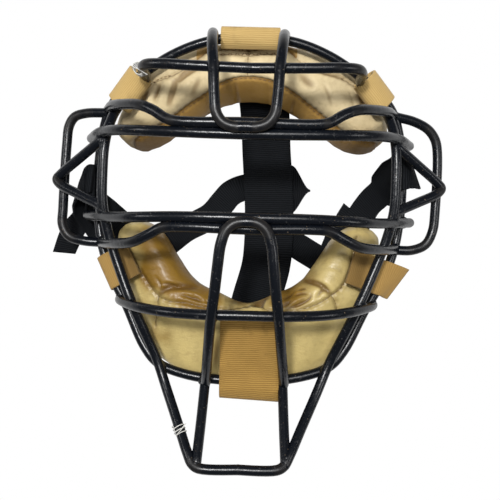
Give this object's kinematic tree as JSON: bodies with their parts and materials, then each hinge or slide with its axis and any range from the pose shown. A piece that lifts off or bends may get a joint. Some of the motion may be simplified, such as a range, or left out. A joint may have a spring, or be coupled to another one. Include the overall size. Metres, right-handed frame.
{
  "type": "umpire mask",
  "caption": "Umpire's face mask: a welded, black-coated wire cage with ear loops and throat guard, leather forehead and chin pads, tan webbing tabs and black harness straps.",
  "frame": {"origin": "on the surface that the mask lies on, under the middle of its box", "axes": "+Z out of the face, +Y from the chin to the forehead, +X to the viewer's right as the viewer faces the mask"},
  "size_m": [0.2738, 0.2836, 0.1104],
  "materials": {
    "coating": "black dipped coating, semi-gloss, dusty at the bends",
    "cream_leather": "cream leather with a camel band, soft sheen",
    "aged_leather": "yellowed cream leather, polished by wear, brown stains",
    "tan_webbing": "ribbed tan webbing, matt",
    "black_webbing": "ribbed black webbing, matt"
  },
  "bodies": {
    "root": {"cage": "coating", "forehead_pad": "cream_leather", "chin_pad": "aged_leather", "top_tab": "tan_webbing", "upper_left_tab": "tan_webbing", "upper_right_tab": "tan_webbing", "left_cheek_tab": "tan_webbing", "right_cheek_tab": "tan_webbing", "chin_strap": "tan_webbing", "crown_strap": "black_webbing", "cross_strap": "black_webbing", "left_side_strap": "black_webbing", "right_side_strap": "black_webbing"}
  },
  "joints": []
}
